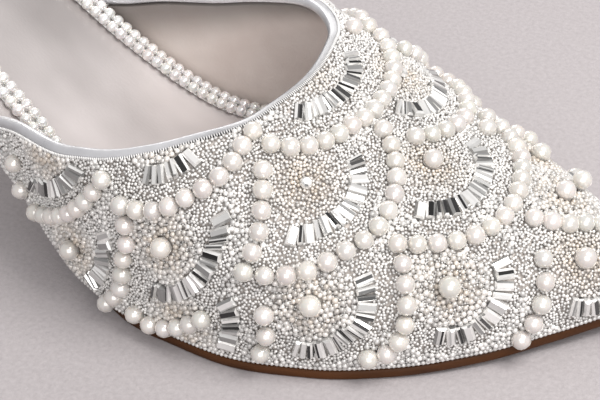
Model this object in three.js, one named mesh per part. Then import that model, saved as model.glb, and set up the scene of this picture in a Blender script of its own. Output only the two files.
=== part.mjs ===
// Heeled mule for a right foot: closed pointed vamp, open back, slim block heel.
// Millimetres. +X points to the toe, +Y to the wearer's left, +Z up.
// The origin lies on the floor under the ball of the foot.
import * as THREE from 'three';
import { mergeVertices } from 'three/addons/utils/BufferGeometryUtils.js';

// Driving dimensions, European size 38
const toeLength = 92; // ball line to toe tip
const rearLength = 152; // ball line to the back of the heel seat
const ballHalfWidth = 41.5; // half the breadth over the upper at the ball
const ballRidge = 52; // ridge over the feather line at the ball
const heelHeight = 78; // floor to sole at the back of the heel seat
const wall = 2.4; // beaded cloth, stiffener and lining together
const soleThickness = 2.2;
const insoleThickness = 3.2; // board and padding
const seam = 0.3; // room between pieces that are glued together

// The last, a row for each section from heel to toe.
// at: place along the foot, -1 heel back, 0 ball, 1 toe tip
// half: half breadth at the feather line, share of ballHalfWidth
// centre: sideways shift of the middle, share of ballHalfWidth
// bottom: ground side of the sole over the floor, share of heelHeight
// ridge: top of the upper over the feather line, share of ballRidge
// tuck: how far the sole's edge lies inside the feather line, mm
const lastColumns = ['at', 'half', 'centre', 'bottom', 'ridge', 'tuck'];
const lastRows = [
  [-1.0, 0.0, 0.145, 1.0, 1.4, 3.2],
  [-0.92, 0.53, 0.145, 0.97, 1.4, 3.2],
  [-0.8, 0.69, 0.145, 0.905, 1.4, 3.2],
  [-0.625, 0.67, 0.14, 0.712, 1.4, 4.0],
  [-0.46, 0.635, 0.13, 0.487, 1.4, 5.5],
  [-0.3, 0.69, 0.1, 0.236, 1.32, 6.0],
  [-0.13, 0.875, 0.042, 0.026, 1.17, 2.0],
  [-0.04, 0.955, 0.034, 0.0, 1.05, 0.0],
  [0.0, 0.976, 0.034, 0.0, 0.995, -0.3],
  [0.18, 1.0, 0.022, 0.0, 0.84, -0.4],
  [0.38, 0.92, 0.036, 0.0, 0.63, -0.4],
  [0.545, 0.775, 0.06, 0.0045, 0.505, -0.4],
  [0.705, 0.565, 0.105, 0.015, 0.41, -0.3],
  [0.83, 0.355, 0.165, 0.029, 0.305, -0.2],
  [0.92, 0.187, 0.205, 0.04, 0.215, -0.1],
  [1.0, 0.0, 0.225, 0.051, 0.0, 0.0],
];
const sectionRise = 0.593; // power of the section's height, under 1 for upright side walls
const sectionSpread = 1.6; // power that spaces the section's points evenly
const sideBulge = 1.3; // swell of the side walls over the feather line

// The topline, a row for each point from the wing's end at the feather line to the throat.
// height: share of the way up the section, x: place along the foot
const toplineColumns = ['height', 'x'];
const toplineRows = [
  [0.0, -56],
  [0.1, -46],
  [0.215, -36],
  [0.355, -23],
  [0.465, -12],
  [0.65, 4],
  [0.84, 15],
  [1.0, 17.8],
];

// The pearl trim's distance inside the insole's edge, a row for each place along the foot.
const trimColumns = ['at', 'lateral', 'medial'];
const trimRows = [
  [-1.0, 3.2, 3.2],
  [-0.8, 3.2, 3.2],
  [-0.625, 4.6, 3.3],
  [-0.46, 7.4, 3.4],
  [-0.3, 9.4, 3.4],
  [-0.13, 8.0, 3.4],
  [0.0, 5.2, 3.4],
  [0.3, 3.6, 3.2],
];
const trimFront = 22; // the trim's ends, hidden under the vamp
const trimWidth = 5;
const trimHeight = 2.6;
// The trim's section from edge to edge: across as a share of trimWidth, up as a share of trimHeight
const trimSection = [
  { across: -0.5, up: 0 },
  { across: -0.42, up: 0.7 },
  { across: -0.14, up: 1 },
  { across: 0.14, up: 1 },
  { across: 0.42, up: 0.7 },
  { across: 0.5, up: 0 },
];

// The heel, its top on the sole and its foot on the floor
const heel = {
  centreY: 6,
  seatX: -125.5,
  seatHalfLength: 23.5,
  seatHalfWidth: 23.5,
  liftX: -131,
  liftHalfLength: 12,
  liftHalfWidth: 13,
  liftThickness: 5,
  liftBevel: 0.6,
  roundness: 2.1,
  flare: 2.2,
};

const bindingWidth = 2.2;
const bindingHeight = 1.7;
const insoleRoom = 0.4; // between the insole's edge and the upper's inner wall
const insoleToeRoom = 5; // the insole's tip stays clear of the toe's inner wall
const insoleEdgeDrop = 1.2; // height lost where the insole's edge is rounded
// The insole's section: across from -1 lateral to 1 medial, drop as a share of insoleEdgeDrop
const insoleSection = [
  { across: -1, drop: 1 },
  { across: -0.93, drop: 0.15 },
  { across: -0.5, drop: 0 },
  { across: 0.5, drop: 0 },
  { across: 0.93, drop: 0.15 },
  { across: 1, drop: 1 },
];

// Number of sections and points, coarse where the shape is plain
const upperRows = 28;
const upperColumns = 36;
const toeCrowding = 1.5; // power that crowds the upper's rows at the toe
const soleStations = 64;
const trimStations = 44;
const bindingSteps = 64;
const heelLevels = 9;
const heelSides = 28;
const heelTopRings = [0.75, 0.5, 0.25]; // rings of the heel's top, shares of its outline
const weld = 1e-4; // points closer than this are one
const halvings = 40; // steps of a search for the place where an outline closes

// Slope at an end of a curve, from its two nearest stretches
function endTangent(nearWidth, farWidth, nearSlope, farSlope) {
  const lean = (2 * nearWidth + farWidth) * nearSlope - nearWidth * farSlope;
  const tangent = lean / (nearWidth + farWidth);
  if (tangent * nearSlope <= 0) {
    return 0;
  }
  return Math.abs(tangent) > 3 * Math.abs(nearSlope) ? 3 * nearSlope : tangent;
}

// Smooth monotone curve through a table's points
function smoothThrough(xs, ys) {
  const last = xs.length - 1;
  const slope = [];
  for (let i = 0; i < last; i++) {
    slope.push((ys[i + 1] - ys[i]) / (xs[i + 1] - xs[i]));
  }
  const tangent = [endTangent(xs[1] - xs[0], xs[2] - xs[1], slope[0], slope[1])];
  for (let i = 1; i < last; i++) {
    const before = slope[i - 1];
    const after = slope[i];
    tangent.push(before * after > 0 ? (2 * before * after) / (before + after) : 0);
  }
  const nearWidth = xs[last] - xs[last - 1];
  const farWidth = xs[last - 1] - xs[last - 2];
  tangent.push(endTangent(nearWidth, farWidth, slope[last - 1], slope[last - 2]));
  return (x) => {
    let i = 0;
    while (i < last - 1 && x > xs[i + 1]) {
      i++;
    }
    const width = xs[i + 1] - xs[i];
    const u = THREE.MathUtils.clamp((x - xs[i]) / width, 0, 1);
    const fall = (1 + 2 * u) * (1 - u) * (1 - u);
    const lead = u * (1 - u) * (1 - u) * width;
    const trail = u * u * (u - 1) * width;
    return ys[i] * fall + ys[i + 1] * (1 - fall) + tangent[i] * lead + tangent[i + 1] * trail;
  };
}

const placeOf = (at) => (at < 0 ? at * rearLength : at * toeLength);

// One column of a table as a function of the place along the foot.
// Sizes that shrink to nothing at a round end are interpolated as squares.
function along(rows, columns, name, scale, squared = false) {
  const places = rows.map((row) => placeOf(row[0]));
  const values = rows.map((row) => row[columns.indexOf(name)] * scale);
  if (!squared) {
    return smoothThrough(places, values);
  }
  const square = smoothThrough(places, values.map((value) => value * value));
  return (x) => Math.sqrt(Math.max(0, square(x)));
}

const halfWidth = along(lastRows, lastColumns, 'half', ballHalfWidth, true);
const centreLine = along(lastRows, lastColumns, 'centre', ballHalfWidth);
const soleBottom = along(lastRows, lastColumns, 'bottom', heelHeight);
const ridgeHeight = along(lastRows, lastColumns, 'ridge', ballRidge, true);
const soleTuck = along(lastRows, lastColumns, 'tuck', 1);
const trimLateral = along(trimRows, trimColumns, 'lateral', 1);
const trimMedial = along(trimRows, trimColumns, 'medial', 1);
const feather = (x) => soleBottom(x) + soleThickness + seam;
const insoleTop = (x) => feather(x) + insoleThickness;

// Radius of a round end, from a size close to it
function noseRadius(size, end, inward) {
  const depth = 0.5;
  return size(end + inward * depth) ** 2 / (2 * depth);
}

const toeNose = noseRadius(halfWidth, toeLength, -1); // toe tip seen from above
const toeCap = noseRadius(ridgeHeight, toeLength, -1); // toe tip seen from the side
const heelNose = noseRadius(halfWidth, -rearLength, 1); // back of the heel seat

// A size drawn in by a wall's thickness, also round a nose of the given radius
function drawnIn(size, thickness, nose) {
  const reach = Math.max(size, nose);
  if (thickness >= reach) {
    return 0;
  }
  return Math.sqrt(Math.max(0, size * size - 2 * thickness * reach + thickness * thickness));
}

// Half breadth of an outline that lies a distance inside the feather line
function outlineHalf(x, inset) {
  return drawnIn(halfWidth(x), inset, x > 0 ? toeNose : heelNose);
}

// Place where a size that is positive at the middle shrinks to nothing towards an end
function closingPlace(size, middle, end) {
  let inside = middle;
  let outside = end;
  for (let i = 0; i < halvings; i++) {
    const between = (inside + outside) / 2;
    if (size(between) > 0) {
      inside = between;
    } else {
      outside = between;
    }
  }
  return inside;
}

// The topline runs over the throat, so its table is mirrored at the ridge
const toplineX = (() => {
  const heights = toplineRows.map((row) => row[toplineColumns.indexOf('height')]);
  const places = toplineRows.map((row) => row[toplineColumns.indexOf('x')]);
  const beyond = heights.length - 2;
  return smoothThrough([...heights, 2 - heights[beyond]], [...places, places[beyond]]);
})();

// A point of the upper: x along the foot, height 0 at the feather line to 1 at the ridge,
// side -1 lateral or 1 medial, inset 0 on the outer face and the wall's thickness on the inner
function upperPoint(x, height, side, inset) {
  const half = drawnIn(halfWidth(x), inset, toeNose);
  const rise = drawnIn(ridgeHeight(x), inset, toeCap);
  const turn = (Math.PI / 2) * height ** sectionSpread;
  const swell = sideBulge * Math.sin(2 * turn) * (half / ballHalfWidth);
  const y = centreLine(x) + side * (half * Math.cos(turn) + swell);
  const z = feather(x) + rise * Math.sin(turn) ** sectionRise;
  return new THREE.Vector3(x, y, z);
}

// Closed body from four-cornered patches, corners in turn seen from outside
class Patches {
  constructor() {
    this.points = [];
  }

  quad(a, b, c, d) {
    this.points.push(a, b, c, a, c, d);
  }

  // Grid of rows, seen from outside with its columns to the right and its rows upward
  grid(rows) {
    for (let i = 0; i + 1 < rows.length; i++) {
      for (let j = 0; j + 1 < rows[i].length; j++) {
        this.quad(rows[i][j], rows[i][j + 1], rows[i + 1][j + 1], rows[i + 1][j]);
      }
    }
  }

  geometry() {
    const loose = new THREE.BufferGeometry().setFromPoints(this.points);
    const merged = mergeVertices(loose, weld);
    const corners = merged.getIndex().array;
    const kept = [];
    for (let k = 0; k < corners.length; k += 3) {
      const [a, b, c] = corners.slice(k, k + 3);
      if (a !== b && b !== c && c !== a) {
        kept.push(a, b, c);
      }
    }
    merged.setIndex(kept);
    merged.computeVertexNormals();
    return merged;
  }
}

const column = (rows, j) => rows.map((row) => row[j]);
const reversed = (rows) => rows.map((row) => [...row].reverse());

// Rows of the upper's face from the toe tip back to the topline
function upperFace(inset) {
  const half = (x) => drawnIn(halfWidth(x), inset, toeNose);
  const rise = (x) => drawnIn(ridgeHeight(x), inset, toeCap);
  const tip = closingPlace((x) => Math.min(half(x), rise(x)), 0, toeLength);
  const rows = [];
  for (let i = 0; i <= upperRows; i++) {
    const share = (i / upperRows) ** toeCrowding;
    const row = [];
    for (let j = 0; j <= upperColumns; j++) {
      const across = (2 * j) / upperColumns - 1;
      const height = 1 - Math.abs(across);
      const x = tip - (tip - toplineX(height)) * share;
      if (i === 0) {
        row.push(new THREE.Vector3(tip, centreLine(tip), feather(tip)));
      } else {
        row.push(upperPoint(x, height, across < 0 ? -1 : 1, inset));
      }
    }
    rows.push(row);
  }
  return rows;
}

function upperGeometry() {
  const outer = upperFace(0);
  const inner = upperFace(wall);
  const body = new Patches();
  body.grid(outer);
  body.grid(reversed(inner));
  body.grid([outer[upperRows], inner[upperRows]]);
  body.grid([column(outer, 0), column(inner, 0)]);
  body.grid([column(inner, upperColumns), column(outer, upperColumns)]);
  return body.geometry();
}

// Places from heel to toe, closer together at the round ends
function stations(from, to, count) {
  const places = [from];
  for (let i = 1; i < count; i++) {
    const even = i / count;
    const ends = (1 - Math.cos(Math.PI * even)) / 2;
    places.push(from + ((to - from) * (even + ends)) / 2);
  }
  places.push(to);
  return places;
}

// Flat layer of the sole: breadth from a half width, faces from two heights.
// shape lists places across, -1 lateral to 1 medial, with the drop of the upper face there.
function layerGeometry(places, half, lower, upper, shape) {
  const face = (height, dropped) =>
    places.map((x) =>
      shape.map(({ across, drop }) => {
        const y = centreLine(x) + across * half(x);
        return new THREE.Vector3(x, y, height(x) - (dropped ? drop : 0));
      }),
    );
  const top = face(upper, true);
  const bottom = face(lower, false);
  const end = shape.length - 1;
  const body = new Patches();
  body.grid(reversed(top));
  body.grid(bottom);
  body.grid([column(bottom, 0), column(top, 0)]);
  body.grid([column(top, end), column(bottom, end)]);
  return body.geometry();
}

// Half breadth as given, but nothing at the two ends, where the outline closes
function closedAt(half, heelEnd, toeEnd) {
  return (x) => (x === heelEnd || x === toeEnd ? 0 : half(x));
}

function outsoleGeometry() {
  const half = (x) => outlineHalf(x, soleTuck(x));
  const heelEnd = closingPlace(half, 0, -rearLength);
  const shape = [-1, -0.5, 0, 0.5, 1].map((across) => ({ across, drop: 0 }));
  const top = (x) => soleBottom(x) + soleThickness;
  const places = stations(heelEnd, toeLength, soleStations);
  return layerGeometry(places, closedAt(half, heelEnd, toeLength), soleBottom, top, shape);
}

const insoleInset = wall + insoleRoom;
const insoleEase = 40; // length over which the insole draws in towards its tip
const toeRoom = (x) => insoleToeRoom * THREE.MathUtils.smoothstep(x, toeLength - insoleEase, toeLength);
const insoleHalf = (x) => outlineHalf(x, insoleInset + toeRoom(x));
const insoleHeelEnd = closingPlace(insoleHalf, 0, -rearLength);

function insoleGeometry() {
  const tip = closingPlace(insoleHalf, 0, toeLength);
  const shape = insoleSection.map(({ across, drop }) => ({ across, drop: drop * insoleEdgeDrop }));
  const places = stations(insoleHeelEnd, tip, soleStations);
  return layerGeometry(places, closedAt(insoleHalf, insoleHeelEnd, tip), feather, insoleTop, shape);
}

// Closed bar through a row of rings, each ring turning right seen from behind
function barGeometry(rings) {
  const body = new Patches();
  const closed = rings.map((ring) => [...ring, ring[0]]);
  body.grid(closed);
  const cap = (ring) => {
    const middle = new THREE.Vector3();
    ring.forEach((point) => middle.addScaledVector(point, 1 / ring.length));
    return middle;
  };
  const first = rings[0];
  const end = rings[rings.length - 1];
  const firstMiddle = cap(first);
  const endMiddle = cap(end);
  for (let j = 0; j < first.length; j++) {
    const next = (j + 1) % first.length;
    body.points.push(firstMiddle, first[next], first[j]);
    body.points.push(endMiddle, end[j], end[next]);
  }
  return body.geometry();
}

// Centre line of the trim: up one side of the insole, round the heel and down the other
function trimPath() {
  const lateral = (x) => outlineHalf(x, insoleInset + trimLateral(x));
  const medial = (x) => outlineHalf(x, insoleInset + trimMedial(x));
  const heelEnd = closingPlace(medial, 0, -rearLength);
  const reach = trimFront - heelEnd;
  const side = (sign, half) => {
    const points = [];
    for (let i = 0; i < trimStations; i++) {
      const x = heelEnd + reach * (1 - i / trimStations) ** 2;
      points.push(new THREE.Vector3(x, centreLine(x) + sign * half(x), insoleTop(x)));
    }
    return points;
  };
  const tip = new THREE.Vector3(heelEnd, centreLine(heelEnd), insoleTop(heelEnd));
  return [...side(-1, lateral), tip, ...side(1, medial).reverse()];
}

function trimGeometry() {
  const path = trimPath();
  const rings = path.map((point, i) => {
    const before = path[Math.max(0, i - 1)];
    const after = path[Math.min(path.length - 1, i + 1)];
    const sideways = new THREE.Vector3(after.y - before.y, before.x - after.x, 0).normalize();
    return trimSection.map(({ across, up }) => {
      const place = point.clone().addScaledVector(sideways, across * trimWidth);
      place.z = insoleTop(place.x) + seam + up * trimHeight;
      return place;
    });
  });
  return barGeometry(rings);
}

function bindingGeometry() {
  const endRoom = 0.03; // the binding stops just over the feather line
  const sides = 8;
  const edge = [];
  for (let i = 0; i <= bindingSteps; i++) {
    const across = ((2 * i) / bindingSteps - 1) * (1 - endRoom);
    const height = 1 - Math.abs(across);
    const side = across < 0 ? -1 : 1;
    const x = toplineX(height);
    const outer = upperPoint(x, height, side, 0);
    const inner = upperPoint(x, height, side, wall);
    const middle = outer.clone().add(inner).multiplyScalar(0.5);
    edge.push({ middle, outward: outer.sub(inner).normalize() });
  }
  const rings = edge.map(({ middle, outward }, i) => {
    const before = edge[Math.max(0, i - 1)].middle;
    const after = edge[Math.min(bindingSteps, i + 1)].middle;
    const run = after.clone().sub(before).normalize();
    const off = outward.clone().cross(run).normalize();
    const lift = seam + bindingHeight / 2;
    const ring = [];
    for (let k = 0; k < sides; k++) {
      const turn = (2 * Math.PI * k) / sides;
      const point = middle.clone().addScaledVector(off, lift + (Math.sin(turn) * bindingHeight) / 2);
      ring.push(point.addScaledVector(outward, (-Math.cos(turn) * bindingWidth) / 2));
    }
    return ring;
  });
  return barGeometry(rings);
}

// Rounded outline of the heel, share 0 at the lift to 1 at the seat
function heelOutline(share, scale = 1) {
  const mix = THREE.MathUtils.lerp;
  const grown = share ** heel.flare;
  const halfLength = mix(heel.liftHalfLength, heel.seatHalfLength, grown) * scale;
  const halfBreadth = mix(heel.liftHalfWidth, heel.seatHalfWidth, grown) * scale;
  const power = 2 / heel.roundness;
  const points = [];
  for (let k = 0; k < heelSides; k++) {
    const turn = (2 * Math.PI * k) / heelSides;
    const cos = Math.cos(turn);
    const sin = Math.sin(turn);
    const x = mix(heel.liftX, heel.seatX, grown) + halfLength * Math.sign(cos) * Math.abs(cos) ** power;
    const y = heel.centreY + halfBreadth * Math.sign(sin) * Math.abs(sin) ** power;
    points.push(new THREE.Vector2(x, y));
  }
  return points;
}

function heelGeometry() {
  const foot = heel.liftThickness + seam;
  const seat = (x) => soleBottom(x) - seam;
  const level = (share, scale) =>
    heelOutline(share, scale).map(({ x, y }) => {
      const z = foot + (seat(x) - foot) * share;
      return new THREE.Vector3(x, y, z);
    });
  const rings = [];
  for (let i = 0; i <= heelLevels; i++) {
    rings.push(level(i / heelLevels, 1));
  }
  for (const scale of heelTopRings) {
    rings.push(level(1, scale));
  }
  return barGeometry(rings);
}

function heelLiftGeometry() {
  const bevel = heel.liftBevel;
  const outline = new THREE.Shape(heelOutline(0, 1 - bevel / heel.liftHalfLength));
  const plate = new THREE.ExtrudeGeometry(outline, {
    depth: heel.liftThickness - 2 * bevel,
    bevelThickness: bevel,
    bevelSize: bevel,
    bevelSegments: 1,
  });
  plate.translate(0, 0, bevel);
  return plate;
}

function finish(colour, roughness, metalness) {
  return new THREE.MeshStandardMaterial({ color: new THREE.Color(colour), roughness, metalness });
}

const shoe = new THREE.Group();

function addPiece(name, geometry, material) {
  const piece = new THREE.Mesh(geometry, material);
  piece.name = name;
  shoe.add(piece);
}

addPiece('outsole', outsoleGeometry(), finish('#8b542b', 0.55, 0));
addPiece('insole', insoleGeometry(), finish('#d3c9c5', 0.4, 0.1));
addPiece('upper', upperGeometry(), finish('#cfc8bd', 0.35, 0.3));
addPiece('topline_binding', bindingGeometry(), finish('#b9bac0', 0.3, 0.6));
addPiece('insole_pearl_trim', trimGeometry(), finish('#efe9e4', 0.25, 0));
addPiece('heel', heelGeometry(), finish('#c9c5c6', 0.35, 0.4));
addPiece('heel_lift', heelLiftGeometry(), finish('#6b5344', 0.8, 0));

export default shoe;
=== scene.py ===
import math

import bmesh
import bpy
import numpy as np
from mathutils import Matrix, Vector


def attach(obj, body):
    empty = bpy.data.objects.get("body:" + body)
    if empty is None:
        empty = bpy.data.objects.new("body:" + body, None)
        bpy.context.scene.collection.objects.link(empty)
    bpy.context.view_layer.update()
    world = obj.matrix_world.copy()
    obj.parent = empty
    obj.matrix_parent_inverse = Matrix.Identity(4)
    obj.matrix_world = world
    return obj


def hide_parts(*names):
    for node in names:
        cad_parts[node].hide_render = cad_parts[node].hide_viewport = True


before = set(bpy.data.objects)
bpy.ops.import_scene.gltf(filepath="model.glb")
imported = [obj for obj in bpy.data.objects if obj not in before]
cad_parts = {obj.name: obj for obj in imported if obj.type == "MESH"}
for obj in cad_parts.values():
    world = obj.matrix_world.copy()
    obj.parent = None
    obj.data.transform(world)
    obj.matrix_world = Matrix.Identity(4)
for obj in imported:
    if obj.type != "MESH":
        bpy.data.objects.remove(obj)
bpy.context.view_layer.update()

mm = 0.001  # tables and formulas are in millimetres, meshes in metres
tiny = 1e-9  # keeps divisions safe
dice = np.random.default_rng(38)

# The last from heel to toe: a list for each measure, and the sizes they are shares of
last = dict(
    at=[-1, -0.92, -0.8, -0.625, -0.46, -0.3, -0.13, -0.04, 0, 0.18, 0.38, 0.545, 0.705, 0.83, 0.92, 1],
    half=[0, 0.53, 0.69, 0.67, 0.635, 0.69, 0.875, 0.955, 0.976, 1, 0.92, 0.775, 0.565, 0.355, 0.187, 0],
    centre=[0.145, 0.145, 0.145, 0.14, 0.13, 0.1, 0.042, 0.034, 0.034, 0.022, 0.036, 0.06,
            0.105, 0.165, 0.205, 0.225],
    bottom=[1, 0.97, 0.905, 0.712, 0.487, 0.236, 0.026, 0, 0, 0, 0, 0.0045, 0.015, 0.029, 0.04, 0.051],
    ridge=[1.4, 1.4, 1.4, 1.4, 1.4, 1.32, 1.17, 1.05, 0.995, 0.84, 0.63, 0.505, 0.41, 0.305, 0.215, 0],
    tuck=[3.2, 3.2, 3.2, 4, 5.5, 6, 2, 0, -0.3, -0.4, -0.4, -0.4, -0.3, -0.2, -0.1, 0],
    toeLength=92, rearLength=152, ballHalf=41.5, ballRidge=52, heelHeight=78,
    wall=2.4, sole=2.2, insole=3.2, seam=0.3,
    sectionRise=0.593, sectionSpread=1.6, bulge=1.3,
    collarHeight=[0, 0.1, 0.215, 0.355, 0.465, 0.65, 0.84, 1, 1.16],
    collarX=[-56, -46, -36, -23, -12, 4, 15, 17.8, 15],
)


# Smooth curve through a table's points: cubics whose slope at a point is the harmonic mean of the slopes
# beside it, so that it never overshoots
def smoothThrough(xs, ys):
    xs, ys = np.asarray(xs, float), np.asarray(ys, float)
    width = np.diff(xs)
    slope = np.diff(ys) / width
    tangent = np.zeros(len(xs))
    before, after = slope[:-1], slope[1:]
    rising = before * after > 0
    tangent[1:-1] = np.where(rising, 2 * before * after / np.where(rising, before + after, 1), 0)

    def endSlope(near, far):
        lean = ((2 * width[near] + width[far]) * slope[near] - width[near] * slope[far])
        lean /= width[near] + width[far]
        if lean * slope[near] <= 0:
            return 0
        return 3 * slope[near] if abs(lean) > 3 * abs(slope[near]) else lean

    tangent[0], tangent[-1] = endSlope(0, 1), endSlope(-1, -2)

    def curve(x):
        x = np.asarray(x, float)
        i = np.clip(np.searchsorted(xs, x) - 1, 0, len(width) - 1)
        u = np.clip((x - xs[i]) / width[i], 0, 1)
        fall = (1 + 2 * u) * (1 - u) ** 2
        lead, trail = u * (1 - u) ** 2 * width[i], u * u * (u - 1) * width[i]
        return ys[i] * fall + ys[i + 1] * (1 - fall) + tangent[i] * lead + tangent[i + 1] * trail

    return curve


def smoothStep(t):
    t = np.clip(t, 0, 1)
    return t ** 2 * (3 - 2 * t)


def roundAngles(count):
    return np.arange(count) * 2 * np.pi / count


def unit(v):
    return v / np.maximum(np.linalg.norm(v, axis=-1, keepdims=True), tiny)


def points(x, y, z):
    return np.stack(np.broadcast_arrays(x, y, z), -1)


def distances(a, b):
    return np.linalg.norm(a[:, None] - b[None], axis=-1)


def lastPlaces(at):
    at = np.asarray(at, float)
    return np.where(at < 0, at * last["rearLength"], at * last["toeLength"])


# Curve of a measure along the last; one that shrinks to nothing at a round end goes by its square
def lastCurve(name, scale, roundEnd=False):
    sizes = np.array(last[name]) * scale
    curve = smoothThrough(lastPlaces(last["at"]), sizes ** 2 if roundEnd else sizes)
    return (lambda x: np.sqrt(np.maximum(0, curve(x)))) if roundEnd else curve


halfAt = lastCurve("half", last["ballHalf"], True)
ridgeAt = lastCurve("ridge", last["ballRidge"], True)
centreAt = lastCurve("centre", last["ballHalf"])
soleAt = lastCurve("bottom", last["heelHeight"])
tuckAt = lastCurve("tuck", 1)
collarAt = smoothThrough(last["collarHeight"], last["collarX"])
toeEnd, heelBack, wall = last["toeLength"], -last["rearLength"], last["wall"]


def outsoleTop(x):
    return soleAt(x) + last["sole"]


def featherAt(x):
    return outsoleTop(x) + last["seam"]


def insoleAt(x):
    return featherAt(x) + last["insole"]


# Radius of a round end: the size a little way in, squared, over twice that way
noseWay = 0.5
toeNose, toeCap, heelNose = (size(place) ** 2 / (2 * noseWay) for size, place in (
    (halfAt, toeEnd - noseWay), (ridgeAt, toeEnd - noseWay), (halfAt, heelBack + noseWay)))


# A size drawn in by a distance, also round a nose of the given radius
def drawnIn(size, inset, nose):
    reach = np.maximum(size, nose)
    left = np.sqrt(np.maximum(0, size ** 2 - 2 * inset * reach + inset ** 2))
    return np.where(inset >= reach, 0, left)


def outlineHalf(x, inset):
    return drawnIn(halfAt(x), inset, np.where(np.asarray(x) > 0, toeNose, heelNose))


# Place where a size shrinks to nothing on the way from the ball of the foot to an end
def closingPlace(size, end, halvings=40):
    inside, outside = 0, end
    for _ in range(halvings):
        between = (inside + outside) / 2
        inside, outside = (between, outside) if size(between) > 0 else (inside, between)
    return inside


# Point of the upper: half a superellipse over the feather line, its sides swollen a little; height is 0
# at the feather line and 1 at the ridge, side is -1 outer or 1 inner
def upperPoint(x, height, side, inset):
    half = drawnIn(halfAt(x), inset, toeNose)
    rise = drawnIn(ridgeAt(x), inset, toeCap)
    turn = np.pi / 2 * height ** last["sectionSpread"]
    swell = last["bulge"] * np.sin(2 * turn) * half / last["ballHalf"]
    y = centreAt(x) + side * (half * np.cos(turn) + swell)
    z = featherAt(x) + rise * np.sin(turn) ** last["sectionRise"]
    return points(x, y, z)


# Height and side for a way across the upper, from -1 at the outer feather line over the ridge to 1
def acrossUpper(across):
    return 1 - np.abs(across), np.where(across < 0, -1, 1)


toeCrowding = 1.5  # rows over the upper crowd towards the toe by this power


# Grid over the upper from the toe tip (share 0) to the collar (share 1)
def upperGrid(inset, rowCount, columnCount):
    def opening(x):
        return min(drawnIn(halfAt(x), inset, toeNose), drawnIn(ridgeAt(x), inset, toeCap))

    tip = closingPlace(opening, toeEnd)
    share = np.linspace(0, 1, rowCount + 1)[:, None] ** toeCrowding
    height, side = acrossUpper(np.linspace(-1, 1, columnCount + 1)[None, :] + 0 * share)
    grid = upperPoint(tip - (tip - collarAt(height)) * share, height, side, inset)
    grid[0] = (tip, centreAt(tip), featherAt(tip))
    return grid


leastSize = 0.3  # the last counts as no smaller than this at its very tip
collarSlant = 0.8  # room square to the collar, as a share of the way along the shoe


def riseShare(p):
    return (p[..., 2] - featherAt(p[..., 0])) / np.maximum(ridgeAt(p[..., 0]), leastSize)


# How far a point is outside the upper: (sideways share / swell)^2 + (height share)^(2/rise) - 1
def outsideUpper(p):
    x = p[..., 0]
    rise = np.clip(riseShare(p), 0, 2) ** (1 / last["sectionRise"])
    swell = 1 + 2 * last["bulge"] / last["ballHalf"] * np.clip(rise, 0, 1)
    across = (p[..., 1] - centreAt(x)) / np.maximum(halfAt(x), leastSize)
    return (across / swell) ** 2 + rise ** 2 - 1


def upperSlope(p, reach=0.05):
    steps = reach * np.eye(3)
    return np.stack([outsideUpper(p + s) - outsideUpper(p - s) for s in steps], -1) / (2 * reach)


def upperNormal(p):
    return unit(upperSlope(p))


def ontoUpper(p, rounds=3):
    for _ in range(rounds):
        slope = upperSlope(p)
        p = p - slope * (outsideUpper(p) / np.maximum((slope ** 2).sum(-1), tiny))[..., None]
    return p


# Room from a point on the upper to the collar and to the feather line, about in millimetres
def edgeRoom(p):
    x = p[..., 0]
    turn = np.arcsin(np.clip(np.clip(riseShare(p), 0, 1) ** (1 / last["sectionRise"]), 0, 1))
    height = (turn * 2 / np.pi) ** (1 / last["sectionSpread"])
    return (x - collarAt(height)) * collarSlant, p[..., 2] - featherAt(x)


def mirrored(p, middle):
    return points(p[..., 0], 2 * middle - p[..., 1], p[..., 2])


# Mesh from whole arrays; faces are arrays with a row of corners for each face
def meshFrom(name, places, faces):
    mesh = bpy.data.meshes.new(name)
    corners = np.concatenate([f.ravel() for f in faces])
    counts = np.concatenate([np.full(len(f), f.shape[1]) for f in faces])
    mesh.vertices.add(len(places))
    mesh.vertices.foreach_set("co", (places * mm).astype(np.float32).ravel())
    mesh.loops.add(len(corners))
    mesh.loops.foreach_set("vertex_index", corners.astype(np.int32))
    mesh.polygons.add(len(counts))
    mesh.polygons.foreach_set("loop_start", (np.cumsum(counts) - counts).astype(np.int32))
    mesh.update(calc_edges=True)
    mesh.validate()
    return mesh


# Patches with shared edges, welded to one closed skin; edges sharper than the angle stay crisp
def sewn(name, grids, crisp=38, weld=2e-6):
    places, faces, first = [], [], 0
    for grid in grids:
        index = first + np.arange(grid.shape[0] * grid.shape[1]).reshape(grid.shape[:2])
        corners = (index[:-1, :-1], index[:-1, 1:], index[1:, 1:], index[1:, :-1])
        faces.append(np.stack(corners, -1).reshape(-1, 4))
        places.append(grid.reshape(-1, 3))
        first += index.size
    mesh = meshFrom(name, np.concatenate(places), faces)
    bm = bmesh.new()
    bm.from_mesh(mesh)
    bmesh.ops.remove_doubles(bm, verts=bm.verts, dist=weld)
    bm.to_mesh(mesh)
    bm.free()
    mesh.shade_smooth()
    mesh.set_sharp_from_angle(angle=math.radians(crisp))
    return mesh


# Closed skin between two grids: outer face, inner face turned over, and the rims
def shell(name, outer, inner):
    return sewn(name, [outer, inner[:, ::-1], np.stack([outer[-1], inner[-1]]),
                       np.stack([outer[:, 0], inner[:, 0]]), np.stack([inner[:, -1], outer[:, -1]])])


# Rings of a profile carried along a path: place + up * the profile's height + out * its breadth
def carried(path, up, height, out, breadth):
    return path[:, None] + up[:, None] * height[:, None] + out[:, None] * breadth[:, None]


# Closed bar through rings of points, its ends drawn together in their middles
def bar(name, rings):
    closed = np.concatenate([rings, rings[:, :1]], 1)
    first = np.stack([np.broadcast_to(closed[0].mean(0), closed[0].shape), closed[0]])
    end = np.stack([closed[-1], np.broadcast_to(closed[-1].mean(0), closed[-1].shape)])
    return sewn(name, [closed, first, end])


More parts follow.
